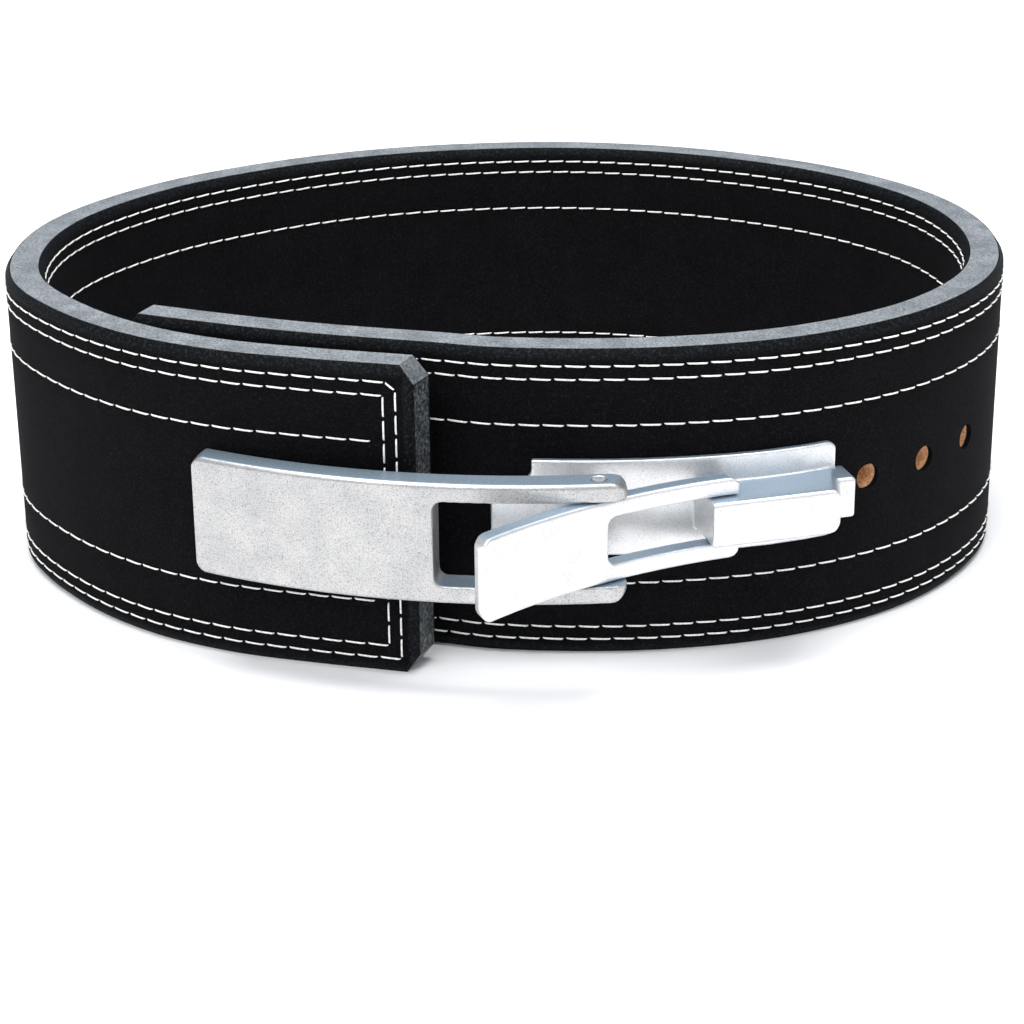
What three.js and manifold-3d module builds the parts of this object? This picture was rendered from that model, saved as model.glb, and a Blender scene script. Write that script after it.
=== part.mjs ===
// Weightlifting belt with a lever buckle, fastened and standing on its lower edge.
// Millimetres, +Z up. The buckle faces -Y and the strap overlaps itself to the left of it.
import * as THREE from "three";
import { mergeVertices } from "three/addons/utils/BufferGeometryUtils.js";
import Module from "manifold-3d";

const wasm = await Module();
wasm.setup();

// Strap
const BELT_HEIGHT = 101.6;
const LOOP_WIDTH = 342.4; // side to side, over the outer faces
const CORE_THICKNESS = 9.4;
const SUEDE_THICKNESS = 1.5;
const LAYER_GAP = 0.3; // between the core and each suede skin
const EDGE_ROUND = 2.2;
const END_SLANT = 3; // the outer end's inner face reaches this far past its outer face
const CORNER_DROP = 6; // cut off each corner of an end, down it
const CORNER_RUN = 4; // and along the strap, at the outer end
const TIP_RUN = 6; // and at the inner end
const LAP_LENGTH = 114.6; // stretch of the inner end that lies behind the outer end
const LAP_CLEARANCE = 0.5;
const LAP_GAP = 9.4; // widest space between the two laps
const STATION_STEP = 12;

// Holes
const HOLE_DIAMETER = 8.6;
const HOLE_PITCH = 25.4;
const HOLES_BEFORE_BASE = 3;
const HOLES_BEHIND_BASE = 2;
const HOLE_SIDES = 12;

// Clearances
const FIT = 0.3; // between a piece and what it sits on or in
const SLIDE = 0.4; // on each side of a piece that swings between two others
const PAST = 2; // how far a cutter runs past what it cuts

// Lever plate
const LEVER_HEIGHT = 38.8;
const LEVER_REACH = 67.2; // how far its tip lies behind the outer end of the strap
const LEVER_TIP_DEPTH = 8.6;
const LEVER_DEPTH = 10;
const LEVER_STANDOFF = 3.4; // off the strap at the strap's outer end
const LEVER_NOSE = 3.7; // its arms past the hinge pin, before their rounded ends
const LEVER_CORNER = 4.5;
const ARM_CORNER = 5;
const LEVER_ROUND = 1.2;
const LEVER_STEPS = 18; // facets along its arc
const CAP_STEPS = 8; // and round the ends of its arms
const WINDOW_LENGTH = 48.2; // from the hinge pin to the window's end
const WINDOW_CORNER = 3;
const POST_DIAMETER = 7;
const POST_INSET = 27; // first post to the outer end of the strap

// Hinge pin
const PIN_DIAMETER = 4;
const PIN_RISE = 25.6; // off the inner lap
const PIN_AHEAD = 42; // ahead of the outer end of the strap

// Claw
const CLAW_HEIGHT = 26.6;
const CLAW_THICKNESS = 5.5;
const CLAW_BEND = 190; // radius of its hollow outer face
const CLAW_SET = 1.2; // its middle ahead of the hinge pin
const CLAW_ROUND = 0.9;
const CLAW_STEPS = 14;
const TAB_LENGTH = 45.2;
const TAB_CORNER = 4;
const FORK_START = 2; // from the hinge pin to the end of the fork's gap
const ARM_TAIL = 6; // arm past the trunnion
const TRUNNION_DIAMETER = 3;
const TRUNNION_RISE = 12.4;
const TRUNNION_TO_SCREW = 4.8;
const TRUNNION_GRIP = 3.4; // how far it reaches into each arm

// Base plate
const BASE_AHEAD = 94.4; // the middle of its two screws, ahead of the outer end of the strap
const BOSS_LENGTH = 41.3;
const BOSS_SHIFT = 2.1; // towards the claw, from the middle of its two screws
const BOSS_HEIGHT = 14.6;
const BOSS_RISE = 18.5;
const BOSS_LOWER_CORNER = 4;
const BOSS_UPPER_CORNER = 3;
const BOSS_FLARE = 7; // its right wall spreads this far towards its foot
const BOSS_ROUND = 0.9;
const FLOOR_THICKNESS = 2.4;
const FLOOR_HEIGHT = 31.8;
const FLOOR_AHEAD = 23.7; // from the middle of the screws to its right end
const FLOOR_BEHIND = 72.3; // from there to the tongue
const TONGUE_LENGTH = 12.5;
const TONGUE_HEIGHT = 18;
const FLOOR_CORNER = 3;
const TONGUE_FILLET = 4;
const LUG_LENGTH = 8.7;
const LUG_HEIGHT = 13.5;
const LUG_RISE = 9.3;

// Screws
const SCREW_HEAD_DIAMETER = 12;
const SCREW_HEAD_THICKNESS = 2;
const SHANK_DIAMETER = 4;
const SHANK_GRIP = 8; // how far a shank reaches into the boss
const ROUND_SIDES = 20;

const THICKNESS = CORE_THICKNESS + 2 * (SUEDE_THICKNESS + LAYER_GAP);
const MID_HEIGHT = BELT_HEIGHT / 2;
const UP = new THREE.Vector3(0, 0, 1);

// The outer face of the strap seen from above, from its outer end round the back to the buckle.
// turn: degrees from the front towards the left.
// reach: from the middle, as a share of half the width.
const LOOP = [
  { turn: 5.7, reach: 0.841 },
  { turn: 20, reach: 0.838 },
  { turn: 30.4, reach: 0.86 },
  { turn: 42, reach: 0.887 },
  { turn: 55, reach: 0.912 },
  { turn: 70, reach: 0.937 },
  { turn: 85, reach: 0.919 },
  { turn: 100, reach: 0.877 },
  { turn: 120, reach: 0.801 },
  { turn: 140, reach: 0.741 },
  { turn: 160, reach: 0.72 },
  { turn: 180, reach: 0.731 },
  { turn: 200, reach: 0.78 },
  { turn: 220, reach: 0.856 },
  { turn: 240, reach: 0.961 },
  { turn: 257, reach: 1.047 },
  { turn: 272, reach: 1.085 },
  { turn: 287, reach: 1.083 },
  { turn: 302, reach: 1.026 },
  { turn: 318, reach: 0.932 },
  { turn: 335, reach: 0.829 },
  { turn: 355, reach: 0.745 },
];

// The inner end of the strap, behind its outer end.
// back: from the outer end, as a share of the lap; gap: as a share of the widest space.
const LAP = [
  { back: 0, gap: 0.92 },
  { back: 0.29, gap: 0.95 },
  { back: 0.46, gap: 1.0 },
  { back: 0.65, gap: 0.91 },
  { back: 0.82, gap: 0.64 },
  { back: 1, gap: 0.06 },
];

// Plan curve through points, with its length, and a point and outward direction at each distance.
function planCurve(points) {
  const curve = new THREE.CatmullRomCurve3(points, false, "centripetal");
  curve.arcLengthDivisions = 1200;
  const length = curve.getLength();
  const at = (distance) => {
    const share = THREE.MathUtils.clamp(distance / length, 0, 1);
    const tangent = curve.getTangentAt(share);
    const outward = new THREE.Vector3().crossVectors(UP, tangent);
    return { point: curve.getPointAt(share), tangent, outward };
  };
  return { length, at };
}

const loopPoints = LOOP.map(({ turn, reach }) => {
  const angle = THREE.MathUtils.degToRad(turn);
  const radius = (reach * LOOP_WIDTH) / 2;
  return new THREE.Vector3(-radius * Math.sin(angle), -radius * Math.cos(angle), 0);
});
const outerLap = planCurve(loopPoints);
const lapPoints = LAP.map(({ back, gap }) => {
  const { point, outward } = outerLap.at(back * LAP_LENGTH);
  return point.addScaledVector(outward, -(THICKNESS + LAP_CLEARANCE + gap * LAP_GAP));
});
const strap = planCurve([...loopPoints, ...lapPoints]);
const lapStart = strap.length - LAP_LENGTH; // where the inner lap passes the outer end

// Turns a closed geometry into a solid, and a solid into a named mesh.
function solidOf(geometry) {
  geometry.deleteAttribute("normal");
  geometry.deleteAttribute("uv");
  const merged = mergeVertices(geometry, 1e-4);
  return new wasm.Manifold(
    new wasm.Mesh({
      numProp: 3,
      vertProperties: new Float32Array(merged.attributes.position.array),
      triVerts: new Uint32Array(merged.index.array),
    }),
  );
}

function meshOf(name, solid, material) {
  const { vertProperties, triVerts } = solid.getMesh();
  const geometry = new THREE.BufferGeometry();
  geometry.setAttribute("position", new THREE.BufferAttribute(vertProperties, 3));
  geometry.setIndex(new THREE.BufferAttribute(triVerts, 1));
  geometry.computeVertexNormals();
  const mesh = new THREE.Mesh(geometry, material);
  mesh.name = name;
  return mesh;
}

// Upright frame at a plan point: x along a direction, y up from mid height, z out of the belt.
function uprightFrame(origin, along) {
  const out = new THREE.Vector3().crossVectors(along, UP);
  const frame = new THREE.Matrix4().makeBasis(along, UP, out);
  return frame.setPosition(origin.x, origin.y, MID_HEIGHT);
}

function strapFrame(distance) {
  const { point, tangent } = strap.at(distance);
  return uprightFrame(point, tangent.negate());
}

// Outline seen from above, raised between two heights, its upper and lower edges rounded.
function raised(outline, low, high, round = 0) {
  const geometry = new THREE.ExtrudeGeometry(outline, {
    depth: high - low - 2 * round,
    bevelEnabled: round > 0,
    bevelThickness: round,
    bevelSize: round,
    bevelOffset: -round,
    bevelSegments: 2,
  });
  return solidOf(geometry.translate(0, 0, low + round));
}

// Outline seen from the front of a frame, pushed out between two depths.
function pushed(outline, frame, back, front) {
  const geometry = new THREE.ExtrudeGeometry(outline, {
    depth: front - back,
    bevelEnabled: false,
    curveSegments: 6,
  });
  return solidOf(geometry.translate(0, 0, back).applyMatrix4(frame));
}

// Round bar across the belt, along z of a frame.
function bar(diameter, frame, x, back, front, sides = ROUND_SIDES) {
  const geometry = new THREE.CylinderGeometry(diameter / 2, diameter / 2, front - back, sides);
  geometry.rotateX(Math.PI / 2).translate(x, 0, (front + back) / 2);
  return solidOf(geometry.applyMatrix4(frame));
}

// Upright round bar, centred on mid height.
function uprightBar(diameter, { x, y }, height) {
  const geometry = new THREE.CylinderGeometry(diameter / 2, diameter / 2, height, ROUND_SIDES);
  return solidOf(geometry.rotateX(Math.PI / 2).translate(x, y, MID_HEIGHT));
}

// Band of the strap seen from above, between two distances along it and two offsets outward.
function strapBand(from, to, inner, outer, past = 0) {
  const steps = Math.ceil((to - from) / STATION_STEP);
  const step = (to - from) / steps;
  const rows = Array.from({ length: steps + 1 }, (_, i) => strap.at(from + i * step));
  rows[0].point.addScaledVector(rows[0].tangent, -past);
  rows[steps].point.addScaledVector(rows[steps].tangent, past);
  const lean = from === 0 ? END_SLANT / THICKNESS : 0;
  const edge = (offset) => {
    const spots = rows.map(({ point, outward }) => point.clone().addScaledVector(outward, offset));
    spots[0].addScaledVector(rows[0].tangent, lean * offset);
    return spots;
  };
  return new THREE.Shape([...edge(outer), ...edge(inner).reverse()]);
}

// Rectangle from the front, its corners rounded by four radii.
// They go lower left, lower right, upper right, upper left.
function roundedRectangle(left, right, height, corners) {
  const top = height / 2;
  const [lowerLeft, lowerRight, upperRight, upperLeft] = corners;
  const outline = new THREE.Shape();
  outline.moveTo(left + lowerLeft, -top);
  outline.lineTo(right - lowerRight, -top);
  if (lowerRight) outline.absarc(right - lowerRight, lowerRight - top, lowerRight, -Math.PI / 2, 0);
  outline.lineTo(right, top - upperRight);
  if (upperRight) outline.absarc(right - upperRight, top - upperRight, upperRight, 0, Math.PI / 2);
  outline.lineTo(left + upperLeft, top);
  if (upperLeft) outline.absarc(left + upperLeft, top - upperLeft, upperLeft, Math.PI / 2, Math.PI);
  outline.lineTo(left, lowerLeft - top);
  if (lowerLeft) outline.absarc(left + lowerLeft, lowerLeft - top, lowerLeft, Math.PI, Math.PI * 1.5);
  return outline;
}

// Slot from the front, open to the right and rounded on the left.
function slot(left, right, height, corner) {
  return roundedRectangle(left, right, height, [corner, 0, 0, corner]);
}

function holes(distances) {
  return distances.map((distance) =>
    bar(HOLE_DIAMETER, strapFrame(distance), 0, -THICKNESS - PAST, PAST, HOLE_SIDES),
  );
}

// Every hole of the strap: two for the lever's posts and one row through the inner end.
const postDistances = [POST_INSET, POST_INSET + HOLE_PITCH];
const baseDistance = lapStart - BASE_AHEAD;
const screwDistances = [baseDistance - HOLE_PITCH / 2, baseDistance + HOLE_PITCH / 2];
const rowDistances = Array.from(
  { length: HOLES_BEFORE_BASE + 2 + HOLES_BEHIND_BASE },
  (_, i) => screwDistances[0] + (i - HOLES_BEFORE_BASE) * HOLE_PITCH,
);

// The whole laminated strap, before it is split into its layers.
function strapBlank() {
  let blank = raised(strapBand(0, strap.length, -THICKNESS, 0), 0, BELT_HEIGHT, EDGE_ROUND);
  const ends = [
    { distance: 0, side: 1, lean: END_SLANT / THICKNESS, cut: CORNER_RUN },
    { distance: strap.length, side: -1, lean: 0, cut: TIP_RUN },
  ];
  for (const { distance, side, lean, cut } of ends) {
    const slope = cut / CORNER_DROP;
    const run = cut + slope * PAST;
    const drop = CORNER_DROP + PAST / slope;
    const frame = strapFrame(distance).multiply(new THREE.Matrix4().makeShear(0, 0, 0, 0, -lean, 0));
    for (const rise of [1, -1]) {
      const corner = new THREE.Shape([
        new THREE.Vector2(side * PAST, rise * (MID_HEIGHT + PAST)),
        new THREE.Vector2(-side * run, rise * (MID_HEIGHT + PAST)),
        new THREE.Vector2(side * PAST, rise * (MID_HEIGHT - drop)),
      ]);
      blank = blank.subtract(pushed(corner, frame, -THICKNESS - PAST, PAST));
    }
  }
  for (const hole of holes([...postDistances, ...rowDistances])) blank = blank.subtract(hole);
  return blank;
}

function layer(blank, inner, outer) {
  const band = strapBand(0, strap.length, inner, outer, LAP_CLEARANCE / 2);
  return blank.intersect(raised(band, -PAST, BELT_HEIGHT + PAST));
}

// Circle through three plan points.
function circleThrough(a, b, c) {
  const d = 2 * (a.x * (b.y - c.y) + b.x * (c.y - a.y) + c.x * (a.y - b.y));
  const square = (p) => p.x * p.x + p.y * p.y;
  const x = (square(a) * (b.y - c.y) + square(b) * (c.y - a.y) + square(c) * (a.y - b.y)) / d;
  const y = (square(a) * (c.x - b.x) + square(b) * (a.x - c.x) + square(c) * (b.x - a.x)) / d;
  const centre = new THREE.Vector3(x, y, 0);
  return { centre, radius: centre.distanceTo(a) };
}

// Curved bar seen from above, between two angles, its inner radius easing from one value to another.
// Its far end is square, or round with a given diameter.
function curvedBar(centre, outerRadius, innerStart, innerEnd, start, end, steps, capDiameter = 0) {
  const shares = Array.from({ length: steps + 1 }, (_, i) => i / steps);
  const spot = (radius, share) => {
    const angle = THREE.MathUtils.lerp(start, end, share);
    return new THREE.Vector2(centre.x + radius * Math.cos(angle), centre.y + radius * Math.sin(angle));
  };
  const outside = shares.map((share) => spot(outerRadius, share));
  const inside = shares.map((share) => spot(THREE.MathUtils.lerp(innerStart, innerEnd, share), share));
  const cap = [];
  if (capDiameter) {
    const middle = spot(outerRadius - capDiameter / 2, 1);
    for (let k = 1; k < CAP_STEPS; k += 1) {
      const angle = end + (Math.PI * k) / CAP_STEPS;
      const reach = new THREE.Vector2(Math.cos(angle), Math.sin(angle)).multiplyScalar(capDiameter / 2);
      cap.push(reach.add(middle));
    }
  }
  return new THREE.Shape([...outside, ...cap, ...inside.reverse()]);
}

const angleTo = (centre, point) => Math.atan2(point.y - centre.y, point.x - centre.x);

function offStrap(distance, rise) {
  const { point, outward } = strap.at(distance);
  return point.addScaledVector(outward, rise);
}

const hingeCentre = offStrap(lapStart - PIN_AHEAD, PIN_RISE);
const trunnionDistance = screwDistances[1] + TRUNNION_TO_SCREW;
const trunnionCentre = offStrap(trunnionDistance, TRUNNION_RISE);

// Lever plate: a curved cast plate with a window at its right end, between two arms.
function leverPlate() {
  const tip = offStrap(LEVER_REACH, FIT + LEVER_TIP_DEPTH);
  const middle = offStrap(0, LEVER_STANDOFF + LEVER_DEPTH);
  const hingeOut = strap.at(lapStart - PIN_AHEAD).outward;
  const face = hingeCentre.clone().addScaledVector(hingeOut, LEVER_DEPTH / 2);
  const { centre, radius } = circleThrough(tip, middle, face);
  const plan = curvedBar(
    centre,
    radius,
    radius - LEVER_TIP_DEPTH,
    radius - LEVER_DEPTH,
    angleTo(centre, tip),
    angleTo(centre, hingeCentre) + LEVER_NOSE / radius,
    LEVER_STEPS,
    LEVER_DEPTH,
  );
  const low = MID_HEIGHT - LEVER_HEIGHT / 2;
  const high = MID_HEIGHT + LEVER_HEIGHT / 2;
  const along = hingeCentre.clone().sub(tip).normalize();
  const frame = uprightFrame(tip, along);
  const length = hingeCentre.distanceTo(tip);
  const right = length + LEVER_NOSE + LEVER_DEPTH / 2;
  const corners = [LEVER_CORNER, ARM_CORNER, ARM_CORNER, LEVER_CORNER];
  const outline = roundedRectangle(0, right, LEVER_HEIGHT, corners);
  const window = slot(length - WINDOW_LENGTH, right + PAST, CLAW_HEIGHT + 2 * SLIDE, WINDOW_CORNER);
  let plate = raised(plan, low, high, LEVER_ROUND);
  plate = plate.intersect(pushed(outline, frame, -2 * length, 2 * length));
  for (const distance of postDistances) {
    const top = LEVER_STANDOFF + LEVER_TIP_DEPTH / 2;
    plate = plate.add(bar(POST_DIAMETER, strapFrame(distance), 0, -THICKNESS + FIT, top));
  }
  plate = plate.subtract(pushed(window, frame, -2 * length, 2 * length));
  plate = plate.subtract(uprightBar(PIN_DIAMETER + 2 * FIT, hingeCentre, LEVER_HEIGHT + PAST));
  for (const distance of postDistances) {
    const bore = bar(SHANK_DIAMETER + 2 * FIT, strapFrame(distance), 0, -THICKNESS - PAST, -FIT);
    plate = plate.subtract(bore);
  }
  return plate;
}

// Claw: a bent plate whose tab lifts off the lever and whose fork holds the boss.
function claw() {
  const hingeOut = strap.at(lapStart - PIN_AHEAD).outward;
  const front = hingeCentre.clone().addScaledVector(hingeOut, CLAW_SET);
  const chord = trunnionCentre.clone().sub(front);
  const along = chord.clone().normalize();
  const out = new THREE.Vector3().crossVectors(along, UP);
  const depth = Math.sqrt(CLAW_BEND ** 2 - chord.lengthSq() / 4);
  const centre = front.clone().addScaledVector(chord, 0.5).addScaledVector(out, depth);
  const start = angleTo(centre, front) + TAB_LENGTH / CLAW_BEND;
  const end = angleTo(centre, trunnionCentre) - ARM_TAIL / CLAW_BEND;
  const outer = CLAW_BEND + CLAW_THICKNESS / 2;
  const inner = CLAW_BEND - CLAW_THICKNESS / 2;
  const plan = curvedBar(centre, outer, inner, inner, start, end, CLAW_STEPS);
  const low = MID_HEIGHT - CLAW_HEIGHT / 2;
  const high = MID_HEIGHT + CLAW_HEIGHT / 2;
  const frame = uprightFrame(front, along);
  const spot = (angle) => new THREE.Vector3(Math.cos(angle), Math.sin(angle), 0).multiplyScalar(CLAW_BEND);
  const reach = (angle) => spot(angle).add(centre).sub(front).dot(along);
  const corners = [TAB_CORNER, TAB_CORNER, TAB_CORNER, TAB_CORNER];
  const outline = roundedRectangle(reach(start), reach(end), CLAW_HEIGHT, corners);
  const gap = slot(FORK_START, reach(end) + PAST, BOSS_HEIGHT + 2 * SLIDE, WINDOW_CORNER);
  let plate = raised(plan, low, high, CLAW_ROUND);
  plate = plate.add(uprightBar(CLAW_THICKNESS + 2 * CLAW_SET, hingeCentre, CLAW_HEIGHT - 2 * CLAW_ROUND));
  plate = plate.intersect(pushed(outline, frame, -2 * CLAW_BEND, 2 * CLAW_BEND));
  plate = plate.subtract(pushed(gap, frame, -2 * CLAW_BEND, 2 * CLAW_BEND));
  plate = plate.subtract(uprightBar(PIN_DIAMETER + 2 * FIT, hingeCentre, CLAW_HEIGHT + PAST));
  const socket = BOSS_HEIGHT + 2 * (SLIDE + TRUNNION_GRIP);
  return plate.subtract(uprightBar(TRUNNION_DIAMETER + 2 * FIT, trunnionCentre, socket));
}

// Base plate: a thin floor on the inner lap, with the boss that the claw grips and a lug beside it.
function basePlate() {
  const from = baseDistance - FLOOR_AHEAD;
  const to = baseDistance + FLOOR_BEHIND;
  const top = FLOOR_HEIGHT / 2;
  const neck = TONGUE_HEIGHT / 2;
  const floorLength = to - from;
  const band = strapBand(from, to + TONGUE_LENGTH, 0, FIT + FLOOR_THICKNESS);
  const tongueOutline = new THREE.Shape();
  tongueOutline.moveTo(-2 * TONGUE_LENGTH, -neck);
  tongueOutline.lineTo(-TONGUE_FILLET, -neck);
  tongueOutline.absarc(-TONGUE_FILLET, -neck - TONGUE_FILLET, TONGUE_FILLET, Math.PI / 2, 0, true);
  tongueOutline.lineTo(0, -top - PAST);
  tongueOutline.lineTo(2 * floorLength, -top - PAST);
  tongueOutline.lineTo(2 * floorLength, top + PAST);
  tongueOutline.lineTo(0, top + PAST);
  tongueOutline.lineTo(0, neck + TONGUE_FILLET);
  tongueOutline.absarc(-TONGUE_FILLET, neck + TONGUE_FILLET, TONGUE_FILLET, 0, -Math.PI / 2, true);
  tongueOutline.lineTo(-2 * TONGUE_LENGTH, neck);
  const corners = [0, FLOOR_CORNER, FLOOR_CORNER, 0];
  const floorOutline = roundedRectangle(-2 * floorLength, 0, FLOOR_HEIGHT, corners);
  const frame = strapFrame(baseDistance);
  const left = -BOSS_LENGTH / 2 - BOSS_SHIFT;
  const right = left + BOSS_LENGTH;
  const block = new THREE.Shape();
  block.moveTo(left, -PAST);
  block.lineTo(right + BOSS_FLARE, -PAST);
  block.lineTo(right, BOSS_RISE);
  block.lineTo(left, BOSS_RISE);
  const bossCorners = [0, BOSS_LOWER_CORNER, BOSS_UPPER_CORNER, 0];
  const flare = BOSS_FLARE / (BOSS_RISE + PAST);
  const foot = right + flare * BOSS_RISE;
  const bossOutline = roundedRectangle(left - BOSS_FLARE - PAST, foot, BOSS_HEIGHT, bossCorners);
  const leaning = frame.clone().multiply(new THREE.Matrix4().makeShear(0, 0, 0, 0, -flare, 0));
  const boss = lyingSolid(block, frame, BOSS_HEIGHT, BOSS_ROUND).intersect(
    pushed(bossOutline, leaning, -2 * PAST, BOSS_RISE + PAST),
  );
  const step = new THREE.Shape();
  step.moveTo(0, -PAST);
  step.lineTo(right + LUG_LENGTH, -PAST);
  step.lineTo(right + LUG_LENGTH, LUG_RISE);
  step.lineTo(0, LUG_RISE);
  const lug = lyingSolid(step, frame, LUG_HEIGHT, BOSS_ROUND);
  const trunnion = uprightBar(
    TRUNNION_DIAMETER,
    trunnionCentre,
    BOSS_HEIGHT + 2 * (SLIDE + TRUNNION_GRIP - FIT),
  );
  let plate = raised(band, MID_HEIGHT - top, MID_HEIGHT + top);
  plate = plate.intersect(pushed(tongueOutline, strapFrame(to), -floorLength, floorLength));
  plate = plate.intersect(pushed(floorOutline, strapFrame(from), -floorLength, floorLength));
  plate = plate.add(boss).add(lug).add(trunnion);
  const under = strapBand(from - FLOOR_AHEAD, to + FLOOR_AHEAD, -THICKNESS, FIT);
  plate = plate.subtract(raised(under, 0, BELT_HEIGHT));
  for (const distance of screwDistances) {
    const bore = bar(SHANK_DIAMETER + 2 * FIT, strapFrame(distance), 0, -PAST, SHANK_GRIP + FIT);
    plate = plate.subtract(bore);
  }
  return plate;
}

// Outline in the plan of a frame, x along and y out, raised on both sides of mid height.
function lyingSolid(outline, frame, height, round) {
  const geometry = new THREE.ExtrudeGeometry(outline, {
    depth: height - 2 * round,
    bevelEnabled: true,
    bevelThickness: round,
    bevelSize: round,
    bevelOffset: -round,
    bevelSegments: 2,
    curveSegments: 6,
  });
  geometry.translate(0, 0, round - height / 2).rotateX(Math.PI / 2);
  return solidOf(geometry.applyMatrix4(frame));
}

// Screw through the strap: a flat head on its inner face and a shank outward.
function screw(distance, reach) {
  const frame = strapFrame(distance);
  const seat = -THICKNESS - FIT;
  const head = bar(SCREW_HEAD_DIAMETER, frame, 0, seat - SCREW_HEAD_THICKNESS, seat);
  return head.add(bar(SHANK_DIAMETER, frame, 0, seat - SCREW_HEAD_THICKNESS / 2, reach));
}

const suede = new THREE.MeshStandardMaterial({ color: 0x0d0d10, roughness: 0.95, metalness: 0 });
const leather = new THREE.MeshStandardMaterial({ color: 0x2a2d33, roughness: 0.6, metalness: 0 });
const castNickel = new THREE.MeshStandardMaterial({ color: 0xc9ccd0, roughness: 0.35, metalness: 1 });
const steel = new THREE.MeshStandardMaterial({ color: 0xb4b7bb, roughness: 0.4, metalness: 1 });

const blank = strapBlank();
const coreDepth = SUEDE_THICKNESS + LAYER_GAP;
const skinPast = LAP_CLEARANCE / 2;
const belt = new THREE.Group();
belt.add(
  meshOf("leather_core", layer(blank, coreDepth - THICKNESS, -coreDepth), leather),
  meshOf("outer_suede", layer(blank, -SUEDE_THICKNESS, skinPast), suede),
  meshOf("inner_suede", layer(blank, -THICKNESS - skinPast, SUEDE_THICKNESS - THICKNESS), suede),
  meshOf("lever_plate", leverPlate(), castNickel),
  meshOf("claw", claw(), castNickel),
  meshOf("base_plate", basePlate(), castNickel),
  meshOf("hinge_pin", uprightBar(PIN_DIAMETER, hingeCentre, LEVER_HEIGHT), steel),
);
postDistances.forEach((distance, i) => {
  belt.add(meshOf(`lever_screw_${i + 1}`, screw(distance, -2 * FIT), steel));
});
screwDistances.forEach((distance, i) => {
  belt.add(meshOf(`base_screw_${i + 1}`, screw(distance, SHANK_GRIP), steel));
});

// The origin lies under the middle of the belt.
const box = new THREE.Box3().setFromObject(belt);
belt.position.set(-(box.min.x + box.max.x) / 2, -(box.min.y + box.max.y) / 2, -box.min.z);

export default belt;
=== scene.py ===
import math

import bmesh
import bpy
import numpy as np
from mathutils import Matrix, Vector


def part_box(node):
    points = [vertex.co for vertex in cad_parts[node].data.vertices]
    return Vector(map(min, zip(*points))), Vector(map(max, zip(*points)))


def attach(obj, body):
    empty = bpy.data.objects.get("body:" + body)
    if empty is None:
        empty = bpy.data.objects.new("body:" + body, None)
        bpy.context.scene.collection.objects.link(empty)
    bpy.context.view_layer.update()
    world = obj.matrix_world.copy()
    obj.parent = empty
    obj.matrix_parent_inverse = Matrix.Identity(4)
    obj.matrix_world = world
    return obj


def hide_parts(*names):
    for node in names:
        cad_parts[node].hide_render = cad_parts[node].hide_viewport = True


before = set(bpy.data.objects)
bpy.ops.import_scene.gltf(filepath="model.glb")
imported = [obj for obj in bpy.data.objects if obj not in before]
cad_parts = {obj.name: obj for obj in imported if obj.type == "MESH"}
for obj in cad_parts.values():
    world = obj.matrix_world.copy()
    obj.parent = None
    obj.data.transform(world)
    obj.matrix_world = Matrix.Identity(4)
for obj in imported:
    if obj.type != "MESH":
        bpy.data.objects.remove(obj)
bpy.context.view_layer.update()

# Weightlifting belt: suede over a leather core, sewn in white, with a cast lever buckle.
# Blender works in metres, so every size below is given in millimetres times MM.
MM = 0.001

# Strap, as the belt maker cuts it
HEIGHT = 101.6 * MM
LOOP_WIDTH = 342.4 * MM
SUEDE = 1.5 * MM
CORE = 9.4 * MM
LAYER_GAP = 0.3 * MM
THICKNESS = CORE + 2 * (SUEDE + LAYER_GAP)
EDGE_ROUND = 2.2 * MM
END_ROUND = 2.2 * MM
END_SLANT = 3 * MM  # the outer end's inner face reaches this far past its outer face
END_STRETCH = 12 * MM  # over which the slant fades out
CORNER_DROP = 6 * MM  # cut off each corner of an end, down it
CORNER_RUN = 4 * MM  # and along the strap, at the outer end
TIP_RUN = 6 * MM  # and at the inner end
LAP_LENGTH = 114.6 * MM
LAP_CLEARANCE = 0.5 * MM
LAP_GAP = 9.4 * MM
STATION_STEP = 2.5 * MM
END_STEP = 0.6 * MM  # between the stations near an end
END_ZONE = 16 * MM
END_ROUND_ROWS = 8
RIM_ROUND_ROWS = 6
BODY_ROWS = 8  # between the two single stitch rows
MERGED = 0.01 * MM  # points closer than this become one
COLLAPSED = 0.005 * MM  # edges shorter than this are removed
NUDGE = 1 * MM  # how far past its thickness the strap is still taken as near
RIM_WIDTH = 2.9 * MM  # of the burnished band along each edge
RIM_FADE = 0.9 * MM

# Holes
HOLE_DIAMETER = 8.6 * MM
HOLE_PITCH = 25.4 * MM
HOLES_BEFORE_BASE = 3
HOLES_UNDER_BASE = 2
HOLES_BEHIND_BASE = 2
HOLE_SIDES = 40
PUNCH_PAST = 3 * MM
WALL_REACH = 1.02  # a hole's wall lies within this many radii of its axis
WALL_FACING = 0.5  # the cosine between a hole's wall and the strap's face stays under this
POST_INSET = 27 * MM
BASE_AHEAD = 94.4 * MM

# Stitching
STITCH_PITCH = 7.45 * MM
STITCH_LENGTH = 6.5 * MM
STITCH_SLANT = 0.12 * MM
THREAD = 0.6 * MM
THREAD_SIDES = 7
THREAD_FLAT = 0.8  # its height as a share of its width
ROW_INSETS = (5.2 * MM, 9.5 * MM, 24.4 * MM)
END_ROW_INSETS = (4.8 * MM, 8.7 * MM)
DIAGONAL_RUN = 3.2 * MM  # the outer row's cut across its top corner at the outer end
DIAGONAL_DROP = 2.4 * MM
SINGLE_ROW_STOP = 12.6 * MM
GROOVE_DEPTH = 0.3 * MM
GROOVE_HALF = 1.0 * MM

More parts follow.
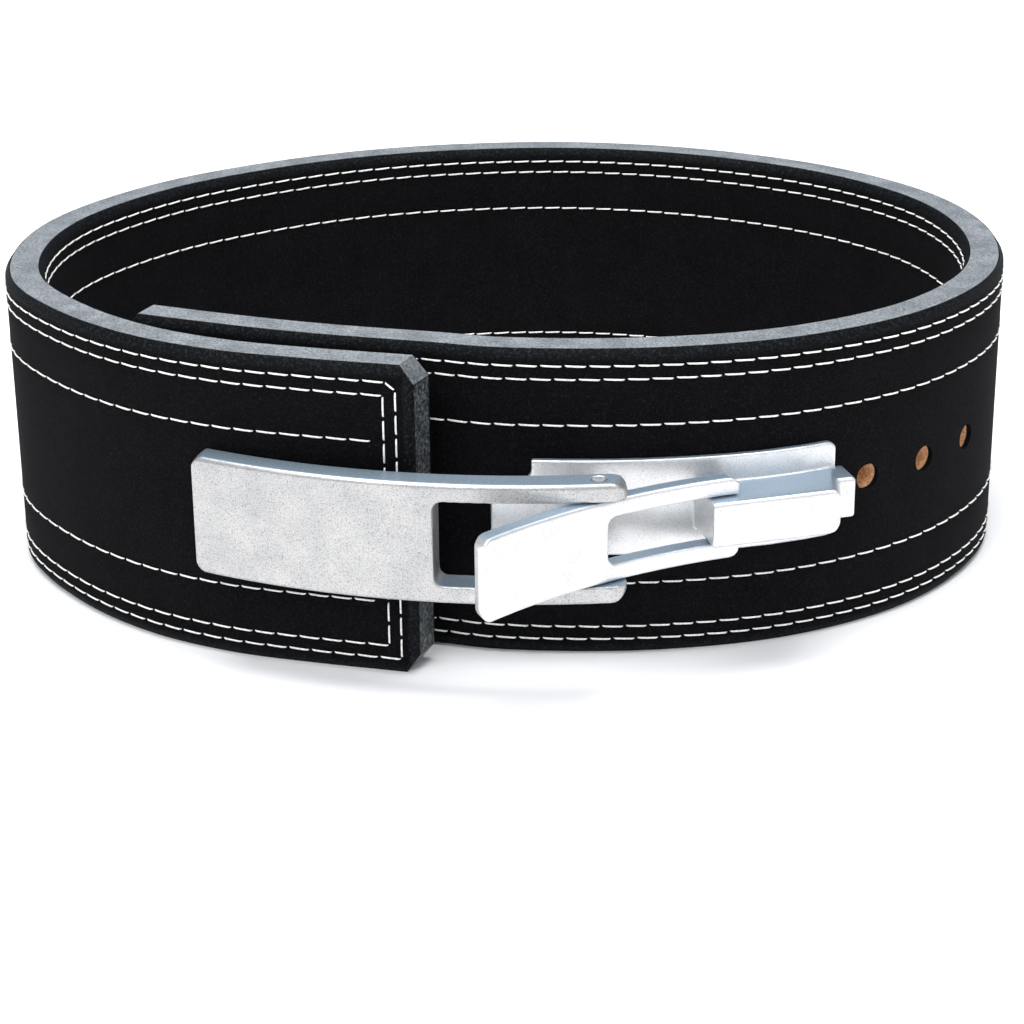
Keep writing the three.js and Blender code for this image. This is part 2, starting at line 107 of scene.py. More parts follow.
# A stitch from end to end: share of its length, share of its full thickness, rise in thicknesses
STITCH_FORM = [
    (0, 0.45, -0.5), (0.05, 0.85, 0.0), (0.13, 1, 0.32), (0.5, 1, 0.4),
    (0.87, 1, 0.32), (0.95, 0.85, 0.0), (1, 0.45, -0.5),
]

# Buckle
FIT = 0.3 * MM
FLOOR_THICKNESS = 2.4 * MM
CAST_VOXEL = 0.42 * MM
SOFTEN_PASSES = 5
TRUED_WITHIN = 0.3 * MM
TRUED_FACING = 0.97  # the cosine within which a face counts as following the strap
FRONT_FROM = 0.7  # share of the plan curve past which the base plate lies
TRUED_AT_ONCE = 4000
PIN_EASE = 0.4 * MM
PIN_EASE_STEPS = 3
PIN_EASE_ANGLE = 50
SMOOTH_ANGLE = 40
THREAD_SMOOTH_ANGLE = 80

# The strap's outer face seen from above, from its outer end round the back to the buckle.
# turn: degrees from the front towards the left; reach: share of half the width, from the middle.
LOOP = [
    (5.7, 0.841), (20, 0.838), (30.4, 0.86), (42, 0.887), (55, 0.912), (70, 0.937),
    (85, 0.919), (100, 0.877), (120, 0.801), (140, 0.741), (160, 0.72), (180, 0.731),
    (200, 0.78), (220, 0.856), (240, 0.961), (257, 1.047), (272, 1.085), (287, 1.083),
    (302, 1.026), (318, 0.932), (335, 0.829), (355, 0.745),
]

# The inner end, behind the outer end. back: share of the lap; gap: share of the widest space.
LAP = [(0, 0.92), (0.29, 0.95), (0.46, 1.0), (0.65, 0.91), (0.82, 0.64), (1, 0.06)]


class PlanCurve:
    """A smooth curve through plan points, measured by distance along it."""

    def __init__(self, points, samples=160):
        spots = [2 * points[0] - points[1], *points, 2 * points[-1] - points[-2]]
        share = np.linspace(0, 1, samples, endpoint=False)[:, None]
        rows = [self.span(*spots[i : i + 4], share) for i in range(len(points) - 1)]
        self.spots = np.vstack([*rows, points[-1][None]])
        steps = np.linalg.norm(np.diff(self.spots, axis=0), axis=1)
        self.distance = np.concatenate([[0], np.cumsum(steps)])
        self.length = self.distance[-1]
        slope = np.gradient(self.spots, self.distance, axis=0)
        self.slope = slope / np.linalg.norm(slope, axis=1)[:, None]

    @staticmethod
    def span(a, b, c, d, share):
        """One stretch of a centripetal spline, from b to c."""
        ab, bc, cd = (np.linalg.norm(q - p) ** 0.5 for p, q in ((a, b), (b, c), (c, d)))
        leave = ((b - a) / ab - (c - a) / (ab + bc) + (c - b) / bc) * bc
        arrive = ((c - b) / bc - (d - b) / (bc + cd) + (d - c) / cd) * bc
        square, cube = share**2, share**3
        bend = 3 * (c - b) - 2 * leave - arrive
        return b + leave * share + bend * square + (2 * (b - c) + leave + arrive) * cube

    def at(self, distance, offset=0.0):
        """Plan points at distances along the curve, moved outward by an offset."""
        spot = np.stack([np.interp(distance, self.distance, self.spots[:, i]) for i in (0, 1)], -1)
        slope = np.stack([np.interp(distance, self.distance, self.slope[:, i]) for i in (0, 1)], -1)
        outward = np.stack([-slope[..., 1], slope[..., 0]], -1)
        return spot + outward * np.asarray(offset)[..., None], slope, outward


def strap_curve():
    """The strap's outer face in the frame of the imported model."""
    turn = np.radians([row[0] for row in LOOP])
    reach = np.array([row[1] for row in LOOP]) * LOOP_WIDTH / 2
    loop = np.stack([-reach * np.sin(turn), -reach * np.cos(turn)], -1)
    outer_lap = PlanCurve(loop)
    back = np.array([row[0] for row in LAP]) * LAP_LENGTH
    gap = np.array([row[1] for row in LAP]) * LAP_GAP
    lap = outer_lap.at(back, -(THICKNESS + LAP_CLEARANCE + gap))[0]
    curve = PlanCurve(np.vstack([loop, lap]))
    low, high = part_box("outer_suede")
    middle = (low[0] + high[0]) / 2 - (curve.spots[:, 0].min() + curve.spots[:, 0].max()) / 2
    shift = np.array([middle, high[1] - curve.spots[:, 1].max()])
    curve.spots = curve.spots + shift
    return curve


STRAP = strap_curve()
LAP_START = STRAP.length - LAP_LENGTH
MID = HEIGHT / 2


def linear(text):
    """An sRGB hex colour as linear red, green, blue and alpha."""
    values = [int(text[i : i + 2], 16) / 255 for i in (1, 3, 5)]
    return [v / 12.92 if v <= 0.04045 else ((v + 0.055) / 1.055) ** 2.4 for v in values] + [1.0]


def add(tree, kind, links=(), **settings):
    """Adds a node, sets its properties and sockets by name, and links its inputs."""
    made = tree.nodes.new(kind)
    for name, value in settings.items():
        if hasattr(made, name):
            setattr(made, name, value)
        else:
            made.inputs[name.replace("_", " ")].default_value = value
    for socket, source in dict(links).items():
        tree.links.new(source, made.inputs[socket])
    return made


def new_material(name, **sockets):
    """A material with its shader's own constants set, its tree and its shader."""
    material = bpy.data.materials.new(name)
    material.use_nodes = True
    shader = material.node_tree.nodes["Principled BSDF"]
    for socket, value in sockets.items():
        shader.inputs[socket.replace("_", " ")].default_value = value
    return material, material.node_tree, shader


def ramp(tree, source, low, high, start=0.0, end=1.0):
    """Two colours spread over a stretch of a source value."""
    made = add(tree, "ShaderNodeValToRGB", {"Fac": source})
    made.color_ramp.elements[0].position = start
    made.color_ramp.elements[0].color = low
    made.color_ramp.elements[1].position = end
    made.color_ramp.elements[1].color = high
    return made.outputs["Color"]


def blend(tree, share, low, high, blend_type="MIX"):
    """Two colours mixed by a share; each is a socket or a constant."""
    made = add(tree, "ShaderNodeMix", data_type="RGBA", blend_type=blend_type)
    for socket, value in ((0, share), (6, low), (7, high)):
        if isinstance(value, bpy.types.NodeSocket):
            tree.links.new(value, made.inputs[socket])
        else:
            made.inputs[socket].default_value = value
    return made.outputs[2]


def noise(tree, where, size, detail, roughness=0.5):
    """Noise whose features are about one size."""
    settings = {"Scale": 1 / size, "Detail": detail, "Roughness": roughness}
    return add(tree, "ShaderNodeTexNoise", {"Vector": where}, **settings).outputs["Fac"]


def relief(tree, shader, height, strength, depth):
    """Fine relief on a surface."""
    bump = add(tree, "ShaderNodeBump", {"Height": height}, Strength=strength, Distance=depth)
    tree.links.new(bump.outputs["Normal"], shader.inputs["Normal"])


def facing_up(tree, start, end):
    """How far a surface faces up or down: 0 where it stands upright and 1 where it lies flat."""
    normal = add(tree, "ShaderNodeNewGeometry").outputs["Normal"]
    rise = add(tree, "ShaderNodeSeparateXYZ", {"Vector": normal}).outputs["Z"]
    either = add(tree, "ShaderNodeMath", {0: rise}, operation="ABSOLUTE").outputs[0]
    return ramp(tree, either, (0, 0, 0, 1), (1, 1, 1, 1), start, end)


def black_suede():
    """Split cowhide, dyed black and napped, with fine specks and smoother, burnished rims."""
    material, tree, shader = new_material("black_suede_split", Specular_IOR_Level=0.1)
    where = add(tree, "ShaderNodeTexCoord").outputs["Object"]
    rim = add(tree, "ShaderNodeAttribute", attribute_name="rim").outputs["Fac"]
    fibres = noise(tree, where, 0.6 * MM, 4.0, 0.7)
    drift = noise(tree, where, 16 * MM, 5.0, 0.6)
    patch = ramp(tree, drift, linear("#020203"), linear("#070709"), 0.3, 0.75)
    speck = ramp(tree, fibres, linear("#000000"), linear("#232329"), 0.52, 0.8)
    napped = blend(tree, 1.0, patch, speck, "ADD")
    worn = noise(tree, where, 0.9 * MM, 5.0, 0.75)
    burnished = ramp(tree, worn, linear("#010202"), linear("#363e46"), 0.5, 0.8)
    tree.links.new(blend(tree, rim, napped, burnished), shader.inputs["Base Color"])
    matt = ramp(tree, rim, (0.95, 0.95, 0.95, 1), (0.62, 0.62, 0.62, 1))
    tree.links.new(matt, shader.inputs["Roughness"])
    relief(tree, shader, fibres, 0.5, 0.3 * MM)
    return material


def edge_leather():
    """Vegetable-tanned core: grey where it lies flat, black with pale fibre ends where it stands
    upright; partly its finish, partly painted light and shade.
    """
    material, tree, shader = new_material(
        "burnished_edge_leather", Roughness=0.55, Specular_IOR_Level=0.4
    )
    where = add(tree, "ShaderNodeTexCoord").outputs["Object"]
    grain = noise(tree, where, 0.9 * MM, 5.0, 0.75)
    wear = noise(tree, where, 8 * MM, 4.0)
    worn = ramp(tree, wear, linear("#70757a"), linear("#93999e"), 0.3, 0.75)
    ends = ramp(tree, grain, linear("#454545"), linear("#ffffff"), 0.36, 0.6)
    rims = blend(tree, 0.8, worn, ends, "MULTIPLY")
    ends_up = noise(tree, where, 1.3 * MM, 5.0, 0.8)
    cut = ramp(tree, ends_up, linear("#050607"), linear("#7a8185"), 0.46, 0.68)
    # Picked by which way each face turns: lighter on the flat rims, darker on the upright ends,
    # partly painted light on the rims and painted shade on the ends.
    colour = blend(tree, facing_up(tree, 0.3, 0.85), cut, rims)
    tree.links.new(colour, shader.inputs["Base Color"])
    relief(tree, shader, grain, 0.5, 0.3 * MM)
    return material


def raw_leather():
    """The undyed wall that a punch leaves: tan, dry and fibrous."""
    material, tree, shader = new_material(
        "punched_tan_leather", Roughness=0.8, Specular_IOR_Level=0.3
    )
    where = add(tree, "ShaderNodeTexCoord").outputs["Object"]
    fibre = noise(tree, where, 0.8 * MM, 4.0)
    colour = ramp(tree, fibre, linear("#bd8759"), linear("#f6cfa6"), 0.3, 0.7)
    tree.links.new(colour, shader.inputs["Base Color"])
    relief(tree, shader, fibre, 0.6, 0.3 * MM)
    return material


def white_thread():
    """Bonded polyester thread: white, half matt, with the twist of its plies."""
    material, tree, shader = new_material(
        "white_polyester_thread", Roughness=0.6, Specular_IOR_Level=0.35
    )
    where = add(tree, "ShaderNodeTexCoord").outputs["Object"]
    ply = noise(tree, where, 0.7 * MM, 2.0)
    colour = ramp(tree, ply, linear("#cfcdc8"), linear("#f8f7f4"), 0.3, 0.55)
    tree.links.new(colour, shader.inputs["Base Color"])
    relief(tree, shader, ply, 0.4, 0.15 * MM)
    return material


def cast_nickel(name, dull, bright, pits):
    """Cast steel, tumbled and nickel plated: frosted satin, with a painted reflection: a cooler
    blue-grey painted on faces that lie flat.
    """
    material, tree, shader = new_material(name, Metallic=0.72)
    where = add(tree, "ShaderNodeTexCoord").outputs["Object"]
    grain = noise(tree, where, 0.34 * MM, 3.0, 0.65)
    clouds = noise(tree, where, 11 * MM, 4.0, 0.6)
    tone = ramp(tree, clouds, linear(dull), linear(bright), 0.35, 0.65)
    frost = ramp(tree, grain, linear(pits), linear("#ffffff"), 0.3, 0.52)
    upright = blend(tree, 1.0, tone, frost, "MULTIPLY")
    # Painted reflection: faces lying flat take a blue-grey colour in place of the blue-grey
    # surroundings they would mirror.
    flat = ramp(tree, grain, linear("#7f95a8"), linear("#b4c4d3"), 0.3, 0.65)
    colour = blend(tree, facing_up(tree, 0.75, 0.97), upright, flat)
    tree.links.new(colour, shader.inputs["Base Color"])
    matt = ramp(tree, grain, (0.42, 0.42, 0.42, 1), (0.3, 0.3, 0.3, 1), 0.3, 0.6)
    tree.links.new(matt, shader.inputs["Roughness"])
    relief(tree, shader, grain, 0.1, 0.08 * MM)
    return material


def turned_steel():
    """Turned steel of the pin and screws: grey, with fine lathe marks."""
    material, tree, shader = new_material("turned_steel", Metallic=0.7, Roughness=0.34)
    where = add(tree, "ShaderNodeTexCoord").outputs["Object"]
    marks = noise(tree, where, 1.2 * MM, 4.0)
    colour = ramp(tree, marks, linear("#b9bdc0"), linear("#dadddf"), 0.35, 0.65)
    tree.links.new(colour, shader.inputs["Base Color"])
    return material


SUEDE_FINISH = black_suede()
EDGE_FINISH = edge_leather()
HOLE_FINISH = raw_leather()
THREAD_FINISH = white_thread()
LEVER_FINISH = cast_nickel("tumbled_nickel_plate", "#b4b4b4", "#c2c1c0", "#9a9a9a")
# Painted reflection: the claw and base plate take a lighter copy of the same nickel plate, standing
# in for the bright floor they mirror.
NICKEL_PAINTED_BRIGHTER = cast_nickel("nickel_plate_painted_brighter", "#d2d3d4", "#e2e2e3", "#d0d0d0")
STEEL_FINISH = turned_steel()


def piece(name, mesh, materials, replaced=()):
    """A mesh as a piece of the belt, on the root body."""
    made = bpy.data.objects.new(name, mesh)
    bpy.context.scene.collection.objects.link(made)
    for material in materials:
        mesh.materials.append(material)
    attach(made, "root")
    if replaced:
        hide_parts(*replaced)
    return made


def mesh_from(name, points, faces):
    """A mesh from its points and faces."""
    mesh = bpy.data.meshes.new(name)
    mesh.from_pydata([tuple(p) for p in points], [], faces)
    mesh.validate()
    return mesh


def smooth(mesh, degrees):
    """Shades a mesh smooth, but for edges sharper than an angle."""
    mesh.polygons.foreach_set("use_smooth", [True] * len(mesh.polygons))
    mesh.set_sharp_from_angle(angle=math.radians(degrees))


def face_outward(mesh):
    """Turns every face of a closed mesh outward."""
    work = bmesh.new()
    work.from_mesh(mesh)
    bmesh.ops.recalc_face_normals(work, faces=work.faces)
    work.to_mesh(mesh)
    work.free()


def baked(made):
    """An object's mesh with its modifiers applied."""
    graph = bpy.context.evaluated_depsgraph_get()
    mesh = bpy.data.meshes.new_from_object(made.evaluated_get(graph))
    made.modifiers.clear()
    return mesh


def rounding(depth, radius):
    """How far a rounded edge drops back, at a depth from the face that it rounds."""
    inside = np.clip(radius - depth, 0, radius)
    return radius - np.sqrt(radius**2 - inside**2)


def groove(height):
    """How far the stitch lines press the face in, at a height."""
    rows = [*ROW_INSETS, *[HEIGHT - inset for inset in ROW_INSETS]]
    press = [np.clip(1 - abs(height - row) / GROOVE_HALF, 0, 1) for row in rows]
    return GROOVE_DEPTH * max(press)


def stations():
    """Distances along the strap, close together at its ends where its corners are cut."""
    eased = END_ROUND * (1 - np.cos(np.linspace(0, math.pi / 2, END_ROUND_ROWS)))
    near = np.concatenate([eased, np.arange(END_ROUND + END_STEP, END_ZONE, END_STEP)])
    last = STRAP.length - near[-1] - STATION_STEP / 2
    middle = np.arange(near[-1] + STATION_STEP, last, STATION_STEP)
    return np.concatenate([near, middle, STRAP.length - near[::-1]])


def skin_profile():
    """Heights of a face's points: dense at the rims and the stitch lines."""
    rims = EDGE_ROUND * (1 - np.cos(np.linspace(0, math.pi / 2, RIM_ROUND_ROWS)))
    across = (-GROOVE_HALF, -GROOVE_HALF / 2, 0, GROOVE_HALF / 2, GROOVE_HALF)
    lines = [inset + step for inset in ROW_INSETS for step in across]
    low = sorted([*rims, *lines])
    body = list(np.linspace(low[-1], HEIGHT - low[-1], BODY_ROWS)[1:-1])
    return np.array([*low, *body, *[HEIGHT - z for z in reversed(low)]])


def layer(name, near, far, grooved):
    """One layer of the strap, between two depths from the outer face, as a closed swept mesh."""
    rows = stations()
    heights = skin_profile()
    ring = len(heights)
    points = []
    for distance in rows:
        from_end = min(distance, STRAP.length - distance)
        corner_run = CORNER_RUN if distance < STRAP.length / 2 else TIP_RUN
        cut = CORNER_DROP * max(0.0, 1 - from_end / corner_run)
        lean = END_SLANT / THICKNESS * max(0.0, 1 - distance / END_STRETCH)
        end_in = float(rounding(from_end, END_ROUND))
        shrink = (HEIGHT - 2 * cut) / HEIGHT
        for depth, inner in ((near, False), (far, True)):
            face_depth = max(depth, end_in) if not inner else min(depth, THICKNESS - end_in)
            edge_depth = min(face_depth, THICKNESS - face_depth)
            drop = float(rounding(edge_depth, EDGE_ROUND))
            for full in heights:
                height = min(max(cut + full * shrink, cut + drop), HEIGHT - cut - drop)
                press = 0.0
                if grooved == "outer" and not inner or grooved == "inner" and inner:
                    press = groove(height) * (-1 if inner else 1)
                spot, slope, _ = STRAP.at(distance, -(face_depth + press))
                spot = spot - slope * lean * face_depth
                points.append((spot[0], spot[1], height))
    faces = []
    per = 2 * ring
    loop = list(range(ring)) + list(range(per - 1, ring - 1, -1))
    for i in range(len(rows) - 1):
        for a, b in zip(loop, loop[1:] + loop[:1]):
            faces.append((i * per + a, i * per + b, (i + 1) * per + b, (i + 1) * per + a))
    last = (len(rows) - 1) * per
    for k in range(ring - 1):
        faces.append((k, k + 1, ring + k + 1, ring + k))
        faces.append((last + k, last + k + 1, last + ring + k + 1, last + ring + k))
    mesh = mesh_from(name, points, faces)
    work = bmesh.new()
    work.from_mesh(mesh)
    bmesh.ops.remove_doubles(work, verts=work.verts, dist=MERGED)
    bmesh.ops.dissolve_degenerate(work, edges=work.edges, dist=COLLAPSED)
    bmesh.ops.recalc_face_normals(work, faces=work.faces)
    work.to_mesh(mesh)
    work.free()
    return mesh


def mark_rims(mesh):
    """Stores how far each point lies in the burnished rims and ends of the strap."""
    points = vertex_array(mesh)
    from_rim = np.minimum(points[:, 2], HEIGHT - points[:, 2])
    spots, slopes, outwards = STRAP.at(np.array([0.0, STRAP.length]))
    for spot, slope, outward in zip(spots, slopes, outwards):
        away = points[:, :2] - spot
        depth = -(away @ outward)
        in_lap = (depth > -NUDGE) & (depth < THICKNESS + NUDGE)
        close = in_lap & (np.linalg.norm(away, axis=1) < 2 * THICKNESS)
        from_rim = np.where(close, np.minimum(from_rim, abs(away @ slope)), from_rim)
    share = np.clip((RIM_WIDTH - from_rim) / RIM_FADE, 0, 1)
    rim = mesh.attributes.new("rim", "FLOAT", "POINT")
    rim.data.foreach_set("value", share.astype(np.float32))


def hole_distances():
    """Distances along the strap of the two post holes and of the row of holes."""
    base = LAP_START - BASE_AHEAD - HOLE_PITCH / 2
    count = HOLES_BEFORE_BASE + HOLES_UNDER_BASE + HOLES_BEHIND_BASE
    row = [base + (i - HOLES_BEFORE_BASE) * HOLE_PITCH for i in range(count)]
    return [POST_INSET, POST_INSET + HOLE_PITCH, *row]


def hole_punch():
    """All the punches as one mesh of round bars through the strap."""
    sides = HOLE_SIDES
    points, faces = [], []
    for distance in hole_distances():
        spot, slope, outward = STRAP.at(distance)
        start = len(points)
        for depth in (-PUNCH_PAST, THICKNESS + PUNCH_PAST):
            for k in range(sides):
                angle = 2 * math.pi * k / sides
                along = HOLE_DIAMETER / 2 * math.cos(angle)
                point = spot + slope * along - outward * depth
                points.append((point[0], point[1], MID + HOLE_DIAMETER / 2 * math.sin(angle)))
        for k in range(sides):
            nxt = (k + 1) % sides
            faces.append((start + k, start + nxt, start + sides + nxt, start + sides + k))
        faces.append(tuple(range(start, start + sides)))
        faces.append(tuple(range(start + sides, start + 2 * sides)))
    mesh = mesh_from("punch", points, faces)
    face_outward(mesh)
    return mesh


def mark_hole_walls(mesh):
    """Gives the walls of the holes the second material."""
    axes = [STRAP.at(distance) for distance in hole_distances()]
    for face in mesh.polygons:
        centre = face.center
        if abs(centre[2] - MID) > HOLE_DIAMETER / 2:
            continue
        flat = np.array(centre[:2])
        normal = np.array(face.normal[:2])
        for spot, slope, outward in axes:
            away = flat - spot
            radius = math.hypot(float(away @ slope), centre[2] - MID)
            depth = -float(away @ outward)
            in_hole = radius < HOLE_DIAMETER / 2 * WALL_REACH
            sideways = abs(normal @ outward) < WALL_FACING
            if in_hole and sideways and -NUDGE < depth < THICKNESS + NUDGE:
                face.material_index = 1
                break


def punched(made, punch):
    """Cuts the holes through a layer, and marks its rims and the raw walls of the holes."""
    cut = made.modifiers.new("holes", "BOOLEAN")
    cut.operation = "DIFFERENCE"
    cut.solver = "EXACT"
    cut.object = punch
    mesh = baked(made)
    if len(mesh.materials) > 1:
        mark_hole_walls(mesh)
    mark_rims(mesh)
    made.data = mesh
    smooth(mesh, SMOOTH_ANGLE)


def make_strap():
    """The strap's three layers, cut by one set of punches."""
    punch = bpy.data.objects.new("punch", hole_punch())
    bpy.context.scene.collection.objects.link(punch)
    gap = SUEDE + LAYER_GAP
    layers = (
        ("suede_outside", 0.0, SUEDE, "outer", [SUEDE_FINISH], "suede", "outer_suede"),
        (
            "leather_between", gap, THICKNESS - gap, None,
            [EDGE_FINISH, HOLE_FINISH], "core_leather", "leather_core",
        ),
        (
            "suede_inside", THICKNESS - SUEDE, THICKNESS, "inner",
            [SUEDE_FINISH], "suede", "inner_suede",
        ),
    )
    for name, near, far, grooved, finishes, slot, node in layers:
        made = piece(name, layer(name, near, far, grooved), finishes, [node])
        punched(made, punch)
    bpy.data.objects.remove(punch)


def stitch(points, faces, path, outward):
    """One stitch: a thread that rises out of its needle hole, lies flat and dips into the next."""
    start = len(points)
    rows = len(path)
    along = path[-1] - path[0]
    across = np.cross(along / np.linalg.norm(along), outward)
    for spot, (_, swell, rise) in zip(path, STITCH_FORM):
        centre = spot + outward * rise * THREAD
        for k in range(THREAD_SIDES):
            angle = 2 * math.pi * k / THREAD_SIDES
            reach = THREAD / 2 * swell
            ring = math.cos(angle) * across + THREAD_FLAT * math.sin(angle) * outward
            points.append(centre + reach * ring)
    for i in range(rows - 1):
        for k in range(THREAD_SIDES):
            nxt = (k + 1) % THREAD_SIDES
            a, b = start + i * THREAD_SIDES + k, start + i * THREAD_SIDES + nxt
            faces.append((a, b, b + THREAD_SIDES, a + THREAD_SIDES))
    last = start + (rows - 1) * THREAD_SIDES
    faces.append(tuple(start + k for k in range(THREAD_SIDES)))
    faces.append(tuple(last + k for k in reversed(range(THREAD_SIDES))))


def sew(name, face_offset, side):
    """Every stitch of one face of the strap, as one mesh. side is 1 outside and -1 inside."""
    points, faces = [], []

    def on_face(distance, height):
        spot = STRAP.at(distance, face_offset)[0]
        return np.array([spot[0], spot[1], height])

    def lay(ends):
        first, last = np.array(ends[0]), np.array(ends[1])
        path = [on_face(*(first + (last - first) * row[0])) for row in STITCH_FORM]
        out = STRAP.at((first[0] + last[0]) / 2)[2] * side
        stitch(points, faces, path, np.array([out[0], out[1], 0.0]))

    def run(start, end, height_start, height_end):
        length = math.hypot(end - start, height_end - height_start)
        count = max(1, round(length / STITCH_PITCH))
        gap = (1 - STITCH_LENGTH / STITCH_PITCH) / 2
        slant = STITCH_SLANT if height_start == height_end else 0
        for i in range(count):
            spots = []
            for share, lean in (((i + gap) / count, -slant), ((i + 1 - gap) / count, slant)):
                height = height_start + (height_end - height_start) * share
                spots.append((start + (end - start) * share, height + lean))
            lay(spots)

    for inset, end_inset in zip(ROW_INSETS, END_ROW_INSETS):
        outermost = inset == ROW_INSETS[0]
        turn, drop = (DIAGONAL_RUN, DIAGONAL_DROP) if outermost else (0, 0)
        top = HEIGHT - inset
        far = STRAP.length - end_inset
        run(end_inset + turn, far, top, top)
        run(end_inset, far, inset, inset)
        run(end_inset, end_inset, inset, top - drop)
        run(far, far, inset, top)
        if outermost:
            run(end_inset, end_inset + turn, top - drop, top)
    for height in (HEIGHT - ROW_INSETS[2], ROW_INSETS[2]):
        run(SINGLE_ROW_STOP, STRAP.length - SINGLE_ROW_STOP, height, height)
    mesh = mesh_from(name, points, faces)
    face_outward(mesh)
    smooth(mesh, THREAD_SMOOTH_ANGLE)
    piece(name, mesh, [THREAD_FINISH])


def vertex_array(mesh, field="co"):
    """The points of a mesh, or its normals, as rows of three."""
    source = mesh.vertices if field == "co" else mesh.vertex_normals
    values = np.empty(len(mesh.vertices) * 3)
    source.foreach_get("co" if field == "co" else "vector", values)
    return values.reshape(-1, 3)


def true_to_strap(points, normals, offset, within):
    """Moves the points of a facetted face that follows the strap onto its smooth curve."""
    pick = slice(int(len(STRAP.spots) * FRONT_FROM), None, 2)
    spots, slope = STRAP.spots[pick], STRAP.slope[pick]
    outward = np.stack([-slope[:, 1], slope[:, 0]], -1)
    for start in range(0, len(points), TRUED_AT_ONCE):
        part = points[start : start + TRUED_AT_ONCE]
        square = ((part[:, None, :2] - spots[None]) ** 2).sum(2)
        nearest = square.argmin(1)
        out = outward[nearest]
        rise = ((part[:, :2] - spots[nearest]) * out).sum(1)
        facing = abs((normals[start : start + TRUED_AT_ONCE, :2] * out).sum(1))
        near = (abs(rise - offset) < within) & (facing > TRUED_FACING)
        part[near, :2] += out[near] * (offset - rise[near])[:, None]


def cast(name, node, finish, truing=None):
    """A cast piece: the solid's form at a fine mesh, its floor trued and its edges softened."""
    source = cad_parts[node].data.copy()
    made = piece(name, source, [], [node])
    mesh = made.modifiers.new("fine", "REMESH")
    mesh.mode = "VOXEL"
    mesh.voxel_size = CAST_VOXEL
    fine = baked(made)
    fine.materials.clear()
    fine.materials.append(finish)
    if truing:
        points = vertex_array(fine)
        truing(points, vertex_array(fine, "normal"))
        fine.vertices.foreach_set("co", points.ravel())
    made.data = fine
    soften = made.modifiers.new("soften", "SMOOTH")
    soften.factor = 0.5
    soften.iterations = SOFTEN_PASSES
    made.data = baked(made)
    made.data.polygons.foreach_set("use_smooth", [True] * len(made.data.polygons))


def true_floor(points, normals):
    """Trues both faces of the base plate's floor to the strap."""
    for offset in (FIT, FIT + FLOOR_THICKNESS):
        true_to_strap(points, normals, offset, TRUED_WITHIN)


def turned(name, node):
    """A pin or screw: the solid with its rims eased."""
    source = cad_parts[node].data.copy()
    made = piece(name, source, [], [node])
    ease = made.modifiers.new("ease", "BEVEL")
    ease.width = PIN_EASE
    ease.segments = PIN_EASE_STEPS
    ease.limit_method = "ANGLE"
    ease.angle_limit = math.radians(PIN_EASE_ANGLE)
    made.data = baked(made)
    made.data.materials.clear()
    made.data.materials.append(STEEL_FINISH)
    smooth(made.data, SMOOTH_ANGLE)


def make_buckle():
    """The three cast pieces, the pin and the screws."""
    cast("lever_plate_cast", "lever_plate", LEVER_FINISH)
    cast("claw_cast", "claw", NICKEL_PAINTED_BRIGHTER)
    cast("base_plate_cast", "base_plate", NICKEL_PAINTED_BRIGHTER, true_floor)
    turned("hinge_pin_turned", "hinge_pin")
    for node in ("lever_screw_1", "lever_screw_2", "base_screw_1", "base_screw_2"):
        turned(node + "_turned", node)


# Camera, at the photograph's angle
CAMERA_AT = Vector((1.5, -771.2, 337.4)) * MM
CAMERA_DOWN = math.radians(19.73)
CAMERA_ROLL = math.radians(-0.53)
CAMERA_LENS = 82.96
CAMERA_SENSOR = 36
CAMERA_SHIFT = -0.142
CAMERA_NEAR = 10 * MM
FLOOR_REACH = 6000 * MM


def make_camera():
    """A camera at the place and angle that the photograph was fitted to."""
    data = bpy.data.cameras.new("camera")
    data.lens = CAMERA_LENS
    data.sensor_width = CAMERA_SENSOR
    data.shift_y = CAMERA_SHIFT
    data.clip_start = CAMERA_NEAR
    camera = bpy.data.objects.new("camera", data)
    turn = Matrix.Rotation(math.pi / 2 - CAMERA_DOWN, 4, "X") @ Matrix.Rotation(CAMERA_ROLL, 4, "Z")
    camera.matrix_world = Matrix.Translation(CAMERA_AT) @ turn
    bpy.context.scene.collection.objects.link(camera)
    bpy.context.scene.camera = camera


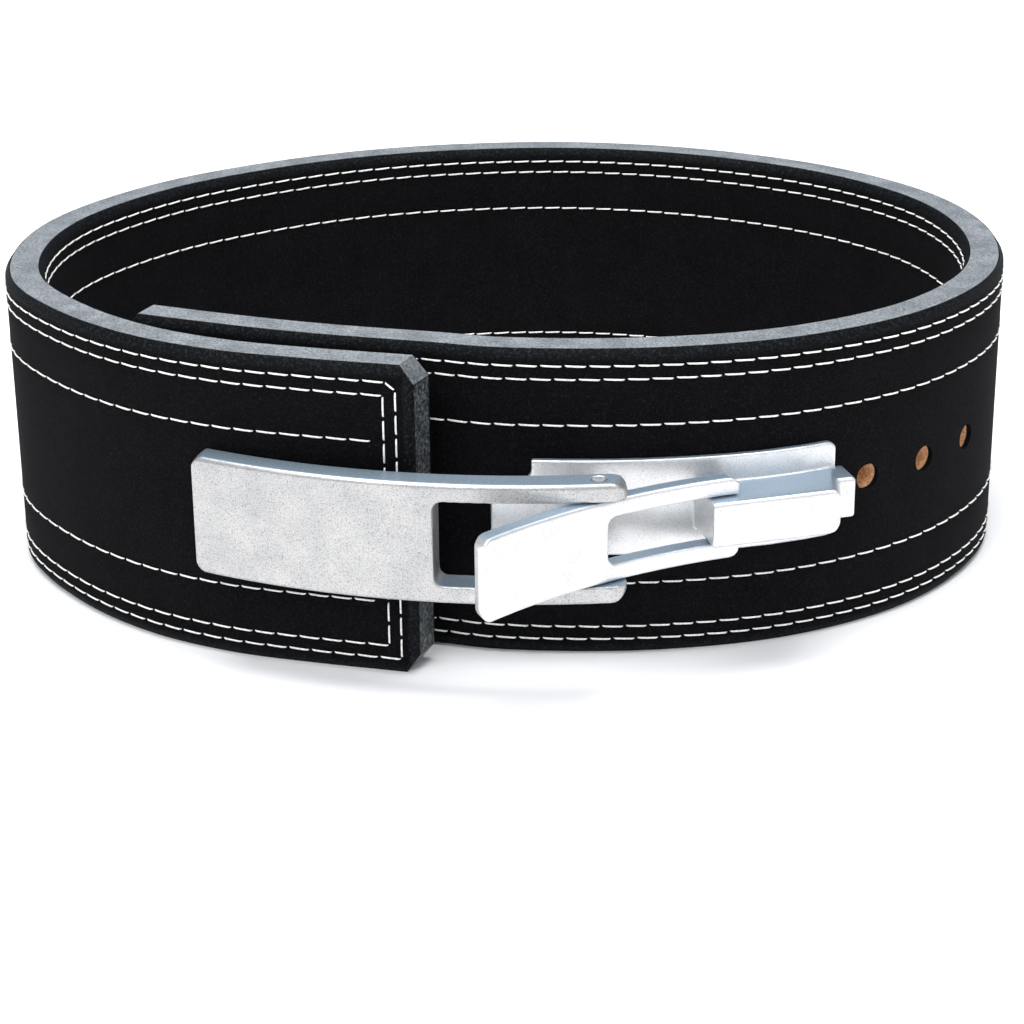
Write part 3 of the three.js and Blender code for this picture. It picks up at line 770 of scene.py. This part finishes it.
def make_floor():
    """A pale matt floor, wide enough for every view."""
    material, tree, shader = new_material("pale_floor", Roughness=0.7, Specular_IOR_Level=0.3)
    shader.inputs["Base Color"].default_value = linear("#f4f4f5")
    far = FLOOR_REACH
    corners = [(-far, -far, 0), (far, -far, 0), (far, far, 0), (-far, far, 0)]
    mesh = mesh_from("floor", corners, [(0, 1, 2, 3)])
    mesh.materials.append(material)
    floor = bpy.data.objects.new("floor", mesh)
    bpy.context.scene.collection.objects.link(floor)


def softbox(name, at, size, power):
    """A white area light, aimed at the middle of the belt."""
    data = bpy.data.lights.new(name, "AREA")
    data.shape = "RECTANGLE"
    data.size, data.size_y = size
    data.energy = power
    light = bpy.data.objects.new(name, data)
    aim = Vector((0, 0, MID)) - Vector(at)
    light.matrix_world = Matrix.Translation(at) @ aim.to_track_quat("-Z", "Y").to_matrix().to_4x4()
    bpy.context.scene.collection.objects.link(light)


def make_light():
    """A white studio, with a blue-grey patch low behind the belt that shows in faces turned up."""
    world = bpy.data.worlds.new("studio")
    bpy.context.scene.world = world
    world.use_nodes = True
    tree = world.node_tree
    shade = tree.nodes["Background"]
    towards = add(tree, "ShaderNodeTexCoord").outputs["Generated"]
    parts = add(tree, "ShaderNodeSeparateXYZ", {"Vector": towards}).outputs
    rising = ramp(tree, parts["Z"], (0, 0, 0, 1), (1, 1, 1, 1), 0.08, 0.2)
    falling = ramp(tree, parts["Z"], (1, 1, 1, 1), (0, 0, 0, 1), 0.55, 0.75)
    behind = ramp(tree, parts["Y"], (0, 0, 0, 1), (1, 1, 1, 1), 0.2, 0.6)
    patch = blend(tree, 1.0, blend(tree, 1.0, rising, falling, "MULTIPLY"), behind, "MULTIPLY")
    colour = blend(tree, patch, linear("#eef1f5"), linear("#a9bccf"))
    tree.links.new(colour, shade.inputs["Color"])
    shade.inputs["Strength"].default_value = 0.6
    softbox("key", (-0.6, -1.3, 1.4), (1.2, 1.0), 18)
    softbox("fill", (1.1, -1.2, 1.2), (0.9, 0.9), 5)
    softbox("top", (0.0, 0.1, 1.7), (1.6, 1.0), 42)
    bpy.context.scene.view_settings.view_transform = "Standard"


make_camera()
make_strap()
sew("stitching_outside", 0.0, 1)
sew("stitching_inside", -THICKNESS, -1)
make_buckle()
make_floor()
make_light()
